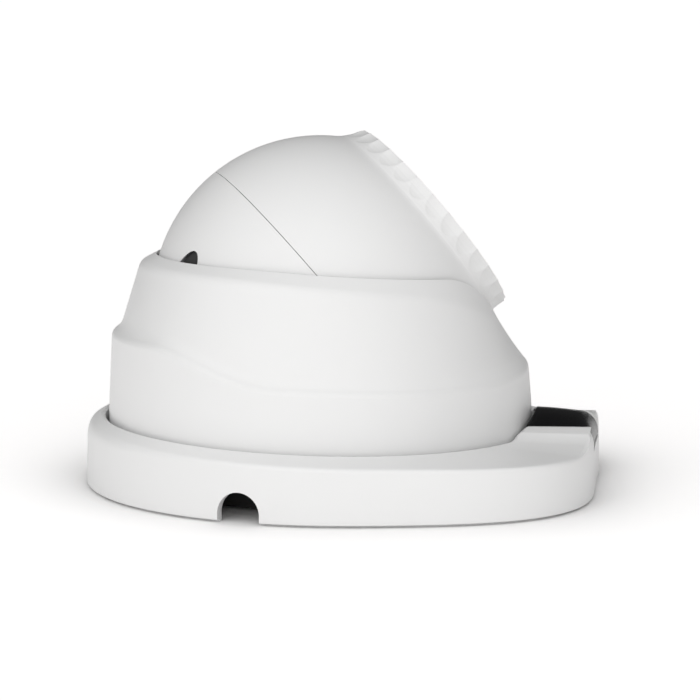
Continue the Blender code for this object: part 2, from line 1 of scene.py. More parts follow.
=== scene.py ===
"""Looks of a dome cctv camera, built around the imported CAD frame.

Lengths are in millimetres until MM scales them. Shapes that belong to the turret are
made in its own frame, on the pan axis, and shapes of the head in the frame of the ball:
local +Z is the optical axis and local -X points to the top of the head.
"""

import json
import math

import bpy
import numpy as np
from mathutils import Matrix, Vector


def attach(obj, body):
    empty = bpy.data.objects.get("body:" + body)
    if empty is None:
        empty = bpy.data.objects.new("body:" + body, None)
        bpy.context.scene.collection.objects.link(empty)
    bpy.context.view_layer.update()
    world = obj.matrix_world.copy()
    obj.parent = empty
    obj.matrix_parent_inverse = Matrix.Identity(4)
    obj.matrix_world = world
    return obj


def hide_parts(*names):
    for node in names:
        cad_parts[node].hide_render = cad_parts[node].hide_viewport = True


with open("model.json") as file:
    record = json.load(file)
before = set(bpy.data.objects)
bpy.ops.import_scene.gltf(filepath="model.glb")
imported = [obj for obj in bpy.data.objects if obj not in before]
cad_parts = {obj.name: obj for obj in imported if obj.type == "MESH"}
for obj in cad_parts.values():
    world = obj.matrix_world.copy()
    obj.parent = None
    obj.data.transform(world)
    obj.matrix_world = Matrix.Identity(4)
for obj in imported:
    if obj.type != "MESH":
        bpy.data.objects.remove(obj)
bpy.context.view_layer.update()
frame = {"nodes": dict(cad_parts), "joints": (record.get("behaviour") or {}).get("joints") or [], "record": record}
NODES = frame["nodes"]
JOINTS = {joint["name"]: joint for joint in frame["joints"]}

MM = 0.001
TAU = 2.0 * math.pi
FILLET_STEPS = 5
SHARP_ANGLE = 28.0

# Base: the reach of its outline is a cosine series round the pan axis
PAN_X = -5.2
BASE_YAW = -8.0
OUTLINE = (60.45, 6.86, 2.42, -0.33, -1.27, -1.24, -0.8, -0.33)
LEDGE_TOP = 10.3
LEDGE_BOTTOM = 8.3
LEDGE_R = 34.0
RECESS_R = 51.2
RIM_R = 51.9
WALL = 2.8
NOSE_TOP = 15.9
NOSE_ROUND = 4.3
RIDGE_LIFT = 0.3
FAR_RIDGE_DROP = 1.5
CHEEK_IN = 12.6
CHEEK_OUT = 16.8
CHEEK_SLOPE = 0.18
WINDOW_HALF = 12.0
WINDOW_TAPER = 0.1
WINDOW_REAR = 51.15
WINDOW_TOP = 16.0
WINDOW_CROWN = 2.1
WINDOW_ROUND = 4.5
WINDOW_WALL = 1.2
WINDOW_CROWN_LOSS = 0.85
WINDOW_SETBACK = 0.4
NOTCH_ANGLE = -100.0
NOTCH_HALF = 5.0
NOTCH_ARCH = 2.1
# A dark sheet inside the base behind the notch paints the shade of the hollow inside
SHADE_SHEET_IN = 39.4
SHADE_SHEET_OUT = 41.4
SHADE_SHEET_HALF = 20.0
SHADE_SHEET_LOW = 0.5
SHADE_SHEET_HIGH = 7.9
MOUNT_BOSS_AT = 44.0
BOSS_ANGLES = (60.0, 180.0, 300.0)

# Turret
SKIRT_R = 50.3
SKIRT_BOTTOM = 10.9
SCOOP_HALF = 56.0
EDGE_HALF = 66.0
RIM_SCOOP = 12.7
EDGE_SCOOP = 8.3
TRIM_BOSS_AT = 44.8

# Ball
BALL_Z = 42.0
BALL_R = 40.0
BALL_IN = 37.6
SOCKET_R = 40.4
SEAM_AT = 0.72
SEAM_HALF = 0.06
REAR_CUT = -30.0
POCKET_AT = 32.6
POCKET_R = 4.2
PLUG_BACK = -12.5
PLUG_R = 3.9
PLUG_FACE_R = 39.2
POCKET_ANGLES = (30.0, 150.0, 210.0, 330.0)
LED_AT = 16.0
LED_COUNT = 8

# Scoops round the front edge
SCOOPS = 30
SCOOP_TOP = 34.2
SCOOP_LENGTH = 4.2
SCOOP_DEPTH = 0.45
RIM_OFFSET = 1.2


# ---------------------------------------------------------------- frames


def joint_matrix(name, z_axis, y_axis):
    """The frame on a joint: its origin, its Z and its Y, as a 4x4 in metres."""
    z = Vector(z_axis).normalized()
    y = Vector(y_axis).normalized()
    turn = Matrix((y.cross(z), y, z)).transposed().to_4x4()
    return Matrix.Translation(JOINTS[name]["pos_m"]) @ turn


TILT_AXIS = Vector(JOINTS["tilt"]["axis"])
PAN = joint_matrix("pan", (0.0, 0.0, 1.0), -TILT_AXIS)
PAN.translation.z = 0.0
BASE = Matrix.Translation(PAN.translation)
BASE = BASE @ Matrix.Rotation(math.radians(BASE_YAW), 4, "Z")
BASE = BASE @ Matrix.Translation((-PAN_X * MM, 0.0, 0.0))
HEAD = joint_matrix("tilt", JOINTS["roll"]["axis"], -TILT_AXIS)


# ---------------------------------------------------------------- mesh tools


def smooth(t):
    t = np.clip(t, 0.0, 1.0)
    return t * t * (3.0 - 2.0 * t)


def blend(a, b, t):
    return a + (b - a) * t


def fillet(corners, setbacks, steps=FILLET_STEPS):
    """Round the corners of many closed sections at once.

    corners is (count, corner, 2). A corner keeps one point where its setback is zero.
    """
    corners = np.asarray(corners, float)
    made = []
    total = corners.shape[1]
    for j in range(total):
        here = corners[:, j]
        setback = setbacks[j]
        if not setback:
            made.append(here[:, None])
            continue
        ends = []
        for other in (corners[:, j - 1], corners[:, (j + 1) % total]):
            way = other - here
            length = np.linalg.norm(way, axis=1, keepdims=True)
            ends.append(here + way / length * np.minimum(setback, 0.48 * length))
        t = np.linspace(0.0, 1.0, steps + 1)[None, :, None]
        first, last, middle = ends[0][:, None], ends[1][:, None], here[:, None]
        made.append((1 - t) ** 2 * first + 2 * t * (1 - t) * middle + t * t * last)
    return np.concatenate(made, axis=1)


def grid_object(name, grid, matrix):
    """A closed skin through a (column, row, 3) grid, closed both ways round."""
    columns, rows = grid.shape[:2]
    c, r = np.meshgrid(np.arange(columns), np.arange(rows), indexing="ij")
    c2, r2 = (c + 1) % columns, (r + 1) % rows
    quads = np.stack([c * rows + r, c2 * rows + r, c2 * rows + r2, c * rows + r2], -1)
    points = grid.reshape(-1, 3) * MM
    quads = quads.reshape(-1, 4)
    corner = points[quads]
    cross = np.cross(corner[:, 1] - corner[:, 0], corner[:, 2] - corner[:, 0])
    if np.einsum("ij,ij->", corner[:, 0], cross) < 0:
        quads = quads[:, ::-1]
    mesh = bpy.data.meshes.new(name)
    mesh.from_pydata(points.tolist(), [], quads.tolist())
    mesh.transform(matrix)
    return link(name, mesh)


def link(name, mesh):
    obj = bpy.data.objects.new(name, mesh)
    bpy.context.scene.collection.objects.link(obj)
    return obj


def turned(name, profile, matrix, setback=0.15, steps=128, at=(0.0, 0.0)):
    """A turned piece. The profile is (radius, height), open where it meets the axis."""
    profile = [tuple(p) for p in profile]
    solid = min(r for r, _ in profile) <= 1e-6
    corners = np.array([[(max(r, 0.0), z) for r, z in profile]])
    setbacks = [setback if r > 1e-6 else 0.0 for r, _ in profile]
    section = fillet(corners, setbacks, 3)[0]
    angles = TAU * np.arange(steps) / steps
    rings = []
    for r, z in section:
        ring = (at[0] + r * np.cos(angles), at[1] + r * np.sin(angles))
        rings.append(np.stack([*ring, np.full(steps, z)], -1))
    grid = np.stack(rings, 1)
    if not solid:
        return grid_object(name, grid, matrix)
    mesh = bpy.data.meshes.new(name)
    points, faces = [], []
    rows = []
    for j, (r, z) in enumerate(section):
        if r <= 1e-6:
            rows.append([len(points)])
            points.append((at[0], at[1], z))
        else:
            rows.append(list(range(len(points), len(points) + steps)))
            points.extend(grid[:, j].tolist())
    for low, high in zip(rows, rows[1:]):
        for k in range(steps):
            n = (k + 1) % steps
            if len(low) == 1 and len(high) == 1:
                break
            if len(low) == 1:
                faces.append((low[0], high[k], high[n]))
            elif len(high) == 1:
                faces.append((low[k], high[0], low[n]))
            else:
                faces.append((low[k], high[k], high[n], low[n]))
    mesh.from_pydata([tuple(c * MM for c in p) for p in points], [], faces)
    if signed_volume(mesh) < 0:
        mesh.flip_normals()
    mesh.transform(matrix)
    return link(name, mesh)


def signed_volume(mesh):
    mesh.calc_loop_triangles()
    co = np.array([v.co for v in mesh.vertices])
    tri = np.array([t.vertices for t in mesh.loop_triangles])
    return np.linalg.det(co[tri]).sum()


def cylinder(name, spots, low, high, radius, matrix, steps=48):
    """Upright closed cylinders in one mesh, as a tool for cutting or joining."""
    points, faces = [], []
    for x, y in spots:
        start = len(points)
        for z in (low, high):
            for k in range(steps):
                a = TAU * (k + 0.5) / steps
                points.append((x + radius * math.cos(a), y + radius * math.sin(a), z))
        for k in range(steps):
            n = (k + 1) % steps
            faces.append([start + i for i in (k, n, steps + n, steps + k)])
        faces.append([start + k for k in reversed(range(steps))])
        faces.append([start + steps + k for k in range(steps)])
    mesh = bpy.data.meshes.new(name)
    mesh.from_pydata([tuple(c * MM for c in p) for p in points], [], faces)
    mesh.transform(matrix)
    return link(name, mesh)


def prism(name, outline, low, high, matrix):
    """A closed prism: an outline in the XY plane from one height to another."""
    count = len(outline)
    points = [(x * MM, y * MM, z * MM) for z in (low, high) for x, y in outline]
    faces = [list(reversed(range(count))), list(range(count, 2 * count))]
    for k in range(count):
        n = (k + 1) % count
        faces.append([k, n, count + n, count + k])
    mesh = bpy.data.meshes.new(name)
    mesh.from_pydata(points, [], faces)
    if signed_volume(mesh) < 0:
        mesh.flip_normals()
    mesh.transform(matrix)
    return link(name, mesh)


def carve(obj, tools):
    """Apply Booleans, given as (operation, tool), and remove the tools."""
    for operation, tool in tools:
        mod = obj.modifiers.new(operation, "BOOLEAN")
        mod.operation = operation
        mod.object = tool
        mod.solver = "EXACT"
    bpy.context.view_layer.update()
    graph = bpy.context.evaluated_depsgraph_get()
    made = bpy.data.meshes.new_from_object(obj.evaluated_get(graph))
    obj.modifiers.clear()
    obj.data = made
    for tool in {tool for _, tool in tools}:
        bpy.data.objects.remove(tool)
    return obj


def dress(obj, body, slot, nodes, material=None):
    """Shade a piece, give it its material, hide the CAD nodes it stands in for, and attach it to the body it rides
    on.
    """
    mesh = obj.data
    mesh.shade_smooth()
    mesh.set_sharp_from_angle(angle=math.radians(SHARP_ANGLE))
    mod = obj.modifiers.new("Weighted normals", "WEIGHTED_NORMAL")
    mod.keep_sharp = True
    mod.weight = 80
    mesh.materials.clear()
    mesh.materials.append(material or MATERIALS[slot])
    if nodes:
        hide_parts(*nodes)
    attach(obj, body)
    return obj


def around(radius, angles, phase=0.0):
    turns = [math.radians(a + phase) for a in angles]
    return [(radius * math.cos(t), radius * math.sin(t)) for t in turns]


# ---------------------------------------------------------------- materials


class Nodes:
    """A short way to wire a node tree."""

    def __init__(self, tree):
        self.tree = tree

    def add(self, kind, settings=None, **inputs):
        node = self.tree.nodes.new("ShaderNode" + kind)
        for key, value in (settings or {}).items():
            setattr(node, key, value)
        for key, value in inputs.items():
            socket = node.inputs[key.replace("_", " ")]
            if isinstance(value, bpy.types.NodeSocket):
                self.tree.links.new(value, socket)
            else:
                socket.default_value = value
        return node

    def noise(self, place, scale, detail=3.0):
        made = self.add("TexNoise", Vector=place, Scale=scale, Detail=detail)
        return made.outputs["Fac"]

    def remap(self, value, low, high, to_low, to_high):
        made = self.add(
            "MapRange",
            Value=value,
            From_Min=low,
            From_Max=high,
            To_Min=to_low,
            To_Max=to_high,
        )
        return made.outputs["Result"]

    def mix(self, factor, first, second):
        made = self.add("MixRGB")
        for key, value in ((0, factor), (1, first), (2, second)):
            if isinstance(value, bpy.types.NodeSocket):
                self.tree.links.new(value, made.inputs[key])
            else:
                made.inputs[key].default_value = value
        return made.outputs["Color"]

    def math(self, operation, first, second=0.0):
        made = self.add("Math", {"operation": operation})
        for key, value in ((0, first), (1, second)):
            if isinstance(value, bpy.types.NodeSocket):
                self.tree.links.new(value, made.inputs[key])
            else:
                made.inputs[key].default_value = value
        return made.outputs["Value"]


def rgba(color, gain=1.0):
    return (*(min(c * gain, 1.0) for c in color), 1.0)


def new_material(name):
    mat = bpy.data.materials.new(name)
    mat.use_nodes = True
    shader = mat.node_tree.nodes["Principled BSDF"]
    net = Nodes(mat.node_tree)
    place = net.add("TexCoord").outputs["Object"]
    return mat, shader, net, place


def moulded(name, color, rough, grain=900.0, depth=0.035, spread=0.03, **extra):
    """Moulded plastic or rubber: fine grain, faint mottling of tone and gloss."""
    mat, shader, net, place = new_material(name)
    broad = net.noise(place, 26.0, 4.0)
    fine = net.noise(place, grain, 3.0)
    tone = net.remap(broad, 0.3, 0.7, 0.0, 1.0)
    color_out = net.mix(tone, rgba(color, 1.0 - spread), rgba(color, 1.0 + spread))
    sheen = net.math("ADD", broad, net.math("MULTIPLY", fine, 0.5))
    gloss = net.remap(sheen, 0.5, 1.0, rough - 0.05, rough + 0.05)
    bump = net.add("Bump", Strength=depth, Distance=0.0002, Height=fine)
    net.tree.links.new(color_out, shader.inputs["Base Color"])
    net.tree.links.new(gloss, shader.inputs["Roughness"])
    net.tree.links.new(bump.outputs["Normal"], shader.inputs["Normal"])
    for key, value in extra.items():
        shader.inputs[key.replace("_", " ")].default_value = value
    return mat


def machined(name, color, rough, stretch=(1.0, 1.0, 40.0), **extra):
    """Metal with fine drawn lines."""
    mat, shader, net, place = new_material(name)
    mapped = net.add("Mapping", Vector=place, Scale=stretch).outputs["Vector"]
    lines = net.noise(mapped, 320.0, 4.0)
    broad = net.noise(place, 60.0, 3.0)
    tone = net.remap(lines, 0.25, 0.75, 0.0, 1.0)
    color_out = net.mix(tone, rgba(color, 0.86), rgba(color, 1.08))
    gloss = net.remap(broad, 0.3, 0.7, rough - 0.07, rough + 0.07)
    bump = net.add("Bump", Strength=0.12, Distance=0.0001, Height=lines)
    net.tree.links.new(color_out, shader.inputs["Base Color"])
    net.tree.links.new(gloss, shader.inputs["Roughness"])
    net.tree.links.new(bump.outputs["Normal"], shader.inputs["Normal"])
    shader.inputs["Metallic"].default_value = 1.0
    for key, value in extra.items():
        shader.inputs[key.replace("_", " ")].default_value = value
    return mat


def clear(name, color, ior=1.5, rough=0.02):
    """Glass or clear resin with a trace of uneven gloss."""
    mat, shader, net, place = new_material(name)
    haze = net.noise(place, 180.0, 2.0)
    gloss = net.remap(haze, 0.3, 0.7, max(rough - 0.01, 0.0), rough + 0.01)
    tint = net.mix(haze, rgba(color, 0.99), rgba(color, 1.01))
    net.tree.links.new(tint, shader.inputs["Base Color"])
    net.tree.links.new(gloss, shader.inputs["Roughness"])
    shader.inputs["Transmission Weight"].default_value = 1.0
    shader.inputs["IOR"].default_value = ior
    return mat


def circuit(name, mask, copper):
    """A circuit board: solder mask over faint tracks, with dots of solder."""
    mat, shader, net, place = new_material(name)
    grid = net.add("TexBrick", {"offset": 0.37, "squash": 0.8}, Vector=place)
    for key, value in (
        ("Color1", rgba(mask)),
        ("Color2", rgba(mask, 1.18)),
        ("Mortar", rgba(copper)),
        ("Scale", 420.0),
        ("Mortar Size", 0.018),
    ):
        grid.inputs[key].default_value = value
    cells = net.add("TexVoronoi", Vector=place, Scale=520.0).outputs["Distance"]
    dots = net.remap(cells, 0.10, 0.14, 1.0, 0.0)
    solder = net.mix(dots, grid.outputs["Color"], (0.55, 0.55, 0.54, 1.0))
    fine = net.noise(place, 700.0, 2.0)
    gloss = net.remap(fine, 0.3, 0.7, 0.32, 0.45)
    bump = net.add("Bump", Strength=0.2, Distance=0.0001, Height=dots)
    net.tree.links.new(solder, shader.inputs["Base Color"])
    net.tree.links.new(gloss, shader.inputs["Roughness"])
    net.tree.links.new(bump.outputs["Normal"], shader.inputs["Normal"])
    return mat


WHITE = (0.755, 0.755, 0.752)
STEEL = (0.56, 0.56, 0.57)
BLACK = (0.014, 0.014, 0.015)


def make_materials():
    made = {}
    for slot in ("base_housing", "trim_cover", "front_shell", "rear_shell"):
        made[slot] = moulded(slot, WHITE, 0.42, grain=1500.0, depth=0.05, spread=0.008)
    made["nose_window"] = moulded(
        "nose_window", (0.006, 0.006, 0.0065), 0.22, depth=0.01, Specular_IOR_Level=0.12
    )
    made["status_board"] = circuit("status_board", (0.02, 0.11, 0.045), (0.12, 0.2, 0.07))
    made["status_led"] = clear("status_led", (0.95, 0.93, 0.85), 1.5, 0.12)
    made["turntable"] = moulded("turntable", (0.52, 0.52, 0.51), 0.4, spread=0.03)
    made["pan_retainer"] = machined("pan_retainer", (0.47, 0.48, 0.49), 0.42)
    made["seat_ring"] = moulded("seat_ring", (0.6, 0.6, 0.585), 0.38, spread=0.03)
    made["friction_ring"] = moulded("friction_ring", (0.028, 0.028, 0.028), 0.8, 700.0, 0.2)
    for slot in ("retainer_screw", "trim_screw", "rear_screw"):
        made[slot] = machined(slot, STEEL, 0.3)
    made["lock_screw"] = machined("lock_screw", (0.32, 0.32, 0.33), 0.34)
    made["roll_bearing_ring"] = moulded("roll_bearing_ring", (0.05, 0.05, 0.05), 0.45)
    made["rear_plug"] = moulded("rear_plug", (0.03, 0.03, 0.031), 0.7, 800.0, 0.15)
    made["cable_gland"] = moulded("cable_gland", (0.055, 0.055, 0.056), 0.5, 800.0, 0.1)
    made["gland_nut"] = moulded("gland_nut", (0.09, 0.09, 0.09), 0.5, 800.0, 0.1)
    for slot in ("gland_seal", "seam_oring", "glass_gasket"):
        made[slot] = moulded(slot, (0.02, 0.02, 0.02), 0.75, 700.0, 0.2, 0.1)
    made["front_glass"] = clear("front_glass", (0.985, 0.99, 0.99), 1.5, 0.012)
    made["lens_element"] = clear("lens_element", (0.93, 0.9, 0.99), 1.62, 0.012)
    made["led"] = clear("led", (0.93, 0.94, 0.96), 1.5, 0.03)
    made["ir_cut_pane"] = clear("ir_cut_pane", (0.55, 0.85, 0.92), 1.5, 0.02)
    made["clear_pane"] = clear("clear_pane", (0.96, 0.98, 0.98), 1.5, 0.02)
    made["chassis"] = machined("chassis", (0.6, 0.61, 0.62), 0.38)
    made["led_board"] = circuit("led_board", BLACK, (0.04, 0.04, 0.038))
    made["light_sensor"] = moulded("light_sensor", (0.3, 0.17, 0.1), 0.22, 900.0, 0.02)
    made["lens_baffle"] = moulded("lens_baffle", (0.016, 0.016, 0.016), 0.85, 600.0, 0.4)
    made["lens_barrel"] = machined("lens_barrel", (0.03, 0.03, 0.032), 0.3)
    made["lens_holder"] = moulded("lens_holder", (0.02, 0.02, 0.02), 0.5)
    made["sensor_board"] = circuit("sensor_board", (0.02, 0.12, 0.05), (0.1, 0.2, 0.06))
    made["main_board"] = circuit("main_board", (0.018, 0.1, 0.042), (0.09, 0.18, 0.06))
    made["image_sensor"] = moulded(
        "image_sensor", (0.05, 0.055, 0.1), 0.14, 1600.0, 0.02, 0.15
    )
    made["filter_housing"] = moulded("filter_housing", (0.016, 0.016, 0.016), 0.55)
    made["filter_coil"] = machined("filter_coil", (0.72, 0.32, 0.16), 0.32, (1.0, 90.0, 1.0))
    made["processor"] = moulded("processor", (0.02, 0.02, 0.022), 0.42, 1200.0, 0.1)
    made["heat_sink"] = machined("heat_sink", (0.5, 0.51, 0.52), 0.42)
    made["ribbon_cable"] = moulded("ribbon_cable", (0.5, 0.22, 0.035), 0.34, 500.0, 0.05)
    made["filter_carrier"] = machined("filter_carrier", (0.42, 0.42, 0.43), 0.33)
    return made


MATERIALS = make_materials()


# ---------------------------------------------------------------- base


def outline_reach(angles):
    """Distance from the pan axis to the outline of the base, along each direction."""
    return sum(size * np.cos(k * angles) for k, size in enumerate(OUTLINE))


def base_columns():
    """Angles at the rim, close together across the crisp flanks of the nose."""
    even = np.arange(-180.0, 180.0, 0.55)
    flank = np.degrees(np.arcsin(np.arange(12.0, 25.0, 0.17) / RIM_R))
    limit = (flank[0] - 0.3, flank[-1] + 0.3)
    even = even[(np.abs(even) < limit[0]) | (np.abs(even) > limit[1])]
    return np.radians(np.sort(np.concatenate([even, flank, -flank])))


def base_height(x, y, plain):
    """Height of the top: the plain rim or ridge, with the nose rising out of it."""
    side = np.abs(y)
    cheek = NOSE_TOP - CHEEK_SLOPE * np.clip(side - CHEEK_IN, 0.0, CHEEK_OUT - CHEEK_IN)
    # The hollow flanks are steep at the turret and spread out towards the front.
    spread = blend(5.0, 13.0, smooth((x - 44.0) / 11.0))
    left = np.clip(1.0 - (side - CHEEK_OUT) / spread, 0.0, 1.0)
    share = np.where(side < CHEEK_OUT, 1.0, left**1.7)
    return np.where(x > 20.0, plain + (cheek - plain) * share, plain)


def window_half(x):
    return WINDOW_HALF - WINDOW_TAPER * (x - 53.0)


def window_rear(radius, side):
    """Points of the arc behind the window, round the recess of the turret."""
    across = np.linspace(-side, side, 41)
    return [(math.sqrt(radius**2 - y * y), float(y)) for y in across]


def make_base():
    angles = base_columns()
    count = len(angles)
    # Plan lines: each column runs straight out from its rim point. Near the nose they
    # run along X, so that the edges of the nose follow them.
    rim_point = RIM_R * np.stack([np.cos(angles), np.sin(angles)], -1)
    parallel = 1.0 - smooth((np.abs(np.degrees(angles)) - 26.0) / 26.0)
    turn = angles * (1.0 - parallel)
    way = np.stack([np.cos(turn), np.sin(turn)], -1)
    along = (rim_point * way).sum(1)

    def to_circle(radius):
        return -along + np.sqrt(np.clip(along**2 - (RIM_R**2 - radius**2), 0.0, None))

    def to_outline(inset):
        low, high = np.full(count, -20.0), np.full(count, 30.0)
        for _ in range(36):
            middle = (low + high) / 2.0
            spot = rim_point + way * middle[:, None]
            radius = np.hypot(spot[:, 0], spot[:, 1])
            inside = radius < outline_reach(np.arctan2(spot[:, 1], spot[:, 0])) - inset
            low, high = np.where(inside, middle, low), np.where(inside, high, middle)
        return low

    outer = rim_point + way * to_outline(0.25)[:, None]
    ahead = PAN_X + outer[:, 0]
    rising = smooth((ahead - 5.0) / 25.0)
    far_front = smooth((ahead - 25.0) / 20.0) * smooth((outer[:, 1] - 4.0) / 14.0)
    plain_ridge = 13.15 - 0.026 * ahead + RIDGE_LIFT * rising
    plain_ridge -= FAR_RIDGE_DROP * far_front
    ridge = base_height(ahead, outer[:, 1], plain_ridge)
    rim = base_height(
        PAN_X + rim_point[:, 0], rim_point[:, 1], 15.0 - 0.03 * (PAN_X + rim_point[:, 0])
    )
    flat = np.zeros(count)
    corners = [
        (to_outline(1.5), flat),
        (to_outline(1.5), flat + 0.5),
        (to_outline(0.0), flat + 0.6),
        (to_outline(0.4), ridge),
        (flat, rim),
        (to_circle(RECESS_R), rim - 0.5),
        (to_circle(RECESS_R), flat + LEDGE_TOP),
        (to_circle(LEDGE_R), flat + LEDGE_TOP),
        (to_circle(LEDGE_R), flat + LEDGE_BOTTOM),
        (to_outline(WALL + 0.2), flat + LEDGE_BOTTOM),
        (to_outline(WALL), flat),
    ]
    sections = np.stack([np.stack(c, -1) for c in corners], 1)
    # The outer ridge is crisp along the sides and rounder at the rear.
    turned_to = np.degrees(np.abs(angles))
    setbacks = [0.0, 0.0, 0.2, 1.0, 0.45, 0.0, 0.4, 0.3, 0.3, 0.6, 0.3]
    plain = fillet(sections, setbacks, 8)
    setbacks[3] = 3.2
    rounded = fillet(sections, setbacks, 8)
    sections = blend(plain, rounded, smooth((turned_to - 110.0) / 60.0)[:, None, None])
    # At the nose the top edge is an arc, and the hollow flanks end on it in a crisp edge.
    foot = NOSE_TOP - NOSE_ROUND
    side_y = np.abs(rim_point[:, 1])
    deep = np.interp(side_y, (16.0, 18.0, 28.0), (3.0, 1.6, 0.7))
    end = np.arcsin(np.clip((ridge - foot) / NOSE_ROUND, 0.02, 0.999))
    for k in range(9):
        t = end * k / 8
        inset = 0.3 + deep * (1.0 - np.cos(t))
        arc = np.stack([to_outline(inset), foot + NOSE_ROUND * np.sin(t)], -1)
        share = (1.0 - smooth((turned_to - 27.0) / 9.0))[:, None]
        sections[:, 8 + k] = blend(sections[:, 8 + k], arc, share)
    plan = rim_point[:, None] + way[:, None] * sections[..., :1]
    grid = np.concatenate([plan, sections[..., 1:]], -1)
    grid[..., 0] += PAN_X
    shell = grid_object("base_shell", grid, BASE)

    spots = [(PAN_X + x, y) for x, y in around(MOUNT_BOSS_AT, BOSS_ANGLES)]
    rear_arc = window_rear(WINDOW_REAR, window_half(47.0) + 0.15)
    pocket = [(PAN_X + x, y) for x, y in rear_arc]
    side = window_half(70.0) + 0.15
    pocket += [(70.0, side), (70.0, -side)]
    aim = math.radians(NOTCH_ANGLE)
    reach = outline_reach(aim)
    spot = (PAN_X + reach * math.cos(aim), reach * math.sin(aim), 0.0)
    arch = [(-NOTCH_HALF, -2.0), (NOTCH_HALF, -2.0)]
    for k in range(33):
        a = math.pi * k / 32
        arch.append((NOTCH_HALF * math.cos(a), NOTCH_ARCH + NOTCH_HALF * math.sin(a)))
    through = BASE @ Matrix.Translation(Vector(spot) * MM)
    through = through @ Matrix.Rotation(aim + math.pi / 2, 4, "Z")
    through = through @ Matrix.Rotation(math.pi / 2, 4, "X")
    carve(
        shell,
        [
            ("UNION", cylinder("posts", spots, 0.0, 9.2, 4.5, BASE, 96)),
            ("DIFFERENCE", cylinder("bores", spots, -1.0, 6.0, 2.2, BASE, 96)),
            ("DIFFERENCE", cylinder("sinks", spots, 5.5, 11.5, 3.5, BASE, 96)),
            ("DIFFERENCE", prism("pocket", pocket, 10.0, 20.0, BASE)),
            ("DIFFERENCE", prism("notch", arch, -6.0, 6.0, through)),
        ],
    )
    dress(shell, "base", "base_housing", ["base_housing"])


def make_painted_shade_sheet():
    """A dark sheet inside the base, behind the room that the cable passes through: painted shade that stands for
    the darkness in there.
    """
    steps = np.radians(np.linspace(NOTCH_ANGLE - SHADE_SHEET_HALF, NOTCH_ANGLE + SHADE_SHEET_HALF, 25))
    outline = [(PAN_X + SHADE_SHEET_OUT * math.cos(a), SHADE_SHEET_OUT * math.sin(a)) for a in steps]
    back = [(PAN_X + SHADE_SHEET_IN * math.cos(a), SHADE_SHEET_IN * math.sin(a)) for a in steps[::-1]]
    shade_sheet = prism("painted_shade_sheet", outline + back, SHADE_SHEET_LOW, SHADE_SHEET_HIGH, BASE)
    edge = shade_sheet.modifiers.new("Bevel", "BEVEL")
    edge.width = 0.3 * MM
    edge.segments = 3
    edge.limit_method = "ANGLE"
    carve(shade_sheet, [])
    # The dark rubber of the friction ring is used here as painted shade
    dress(shade_sheet, "base", "friction_ring", [])


def make_nose_window():
    """A bent gloss cap: level behind, rounded over the front, then down the nose."""
    across = np.concatenate(
        [
            WINDOW_HALF * np.array([-1.0, -0.994, -0.98, -0.96]),
            np.linspace(-0.92, 0.92, 31) * WINDOW_HALF,
            WINDOW_HALF * np.array([0.96, 0.98, 0.994, 1.0]),
        ]
    )
    outline = outline_reach(np.arctan2(across, 65.3))
    front = PAN_X + np.sqrt(outline**2 - across**2) - WINDOW_SETBACK
    rear = PAN_X + np.sqrt((WINDOW_REAR + 0.12) ** 2 - across**2)
    edge = np.clip((np.abs(across) - 0.96 * WINDOW_HALF) / (0.04 * WINDOW_HALF), 0.0, 1.0)
    fall = 0.4 * (1.0 - np.sqrt(1.0 - edge**2 * 0.999))
    crown = WINDOW_CROWN * (1.0 - (across / WINDOW_HALF) ** 2)
    outer, inner = [], []
    turn = np.radians(np.linspace(4.0, 90.0, 16))
    for j, y in enumerate(across):
        round_x = front[j] - WINDOW_ROUND
        top = WINDOW_TOP
        path = [(rear[j], top - 0.45), (rear[j] + 0.12, top - 0.1), (rear[j] + 0.45, top)]
        path += [(blend(rear[j] + 0.45, round_x, t), top) for t in (0.25, 0.5, 0.75, 1.0)]
        foot = top - WINDOW_ROUND
        for t in turn:
            bend = (WINDOW_ROUND * math.sin(t), WINDOW_ROUND * math.cos(t))
            path.append((round_x + bend[0], foot + bend[1]))
        path += [(front[j], 10.9), (front[j] - 0.1, 10.55), (front[j] - 0.45, 10.4)]
        path = np.array(path)
        step = np.gradient(path, axis=0)
        step /= np.linalg.norm(step, axis=1, keepdims=True)
        normal = np.stack([-step[:, 1], step[:, 0]], -1)
        keep = np.ones(len(path))
        keep[:2] = keep[-2:] = 0.0
        # The crown fades towards the front and down the nose.
        ahead = (path[:, 0] - rear[j]) / (front[j] - rear[j])
        lift = crown[j] * (1.0 - WINDOW_CROWN_LOSS * np.clip(ahead, 0.0, 1.0) ** 2)
        lift *= np.clip((path[:, 1] - 10.6) / (top - 10.6), 0.0, 1.0)
        raised = path + np.stack([np.zeros(len(path)), lift], -1)
        up = raised - normal * fall[j]
        down = raised - normal * WINDOW_WALL * np.clip(keep, 0.3, 1.0)[:, None]
        for rows, base in ((outer, up), (inner, down)):
            sides = y * window_half(base[:, 0]) / WINDOW_HALF
            rows.append(np.stack([base[:, 0], sides, base[:, 1]], -1))
    outer, inner = np.array(outer), np.array(inner)
    columns, rows = outer.shape[:2]
    points = np.concatenate([outer.reshape(-1, 3), inner.reshape(-1, 3)]) * MM
    half = columns * rows
    faces = []
    for c in range(columns - 1):
        for r in range(rows - 1):
            first, second = c * rows + r, (c + 1) * rows + r
            quad = [first, second, second + 1, first + 1]
            faces.append(quad)
            faces.append([half + i for i in reversed(quad)])
    border = [(c * rows) for c in range(columns)]
    border += [(columns - 1) * rows + r for r in range(1, rows)]
    border += [c * rows + rows - 1 for c in reversed(range(columns - 1))]
    border += [r for r in reversed(range(1, rows - 1))]
    for i, first in enumerate(border):
        second = border[(i + 1) % len(border)]
        faces.append([second, first, half + first, half + second])
    mesh = bpy.data.meshes.new("nose_gloss_cap")
    mesh.from_pydata(points.tolist(), [], faces)
    if signed_volume(mesh) < 0:
        mesh.flip_normals()
    mesh.transform(BASE)
    dress(link("nose_gloss_cap", mesh), "base", "nose_window", ["nose_window"])


# ---------------------------------------------------------------- turret


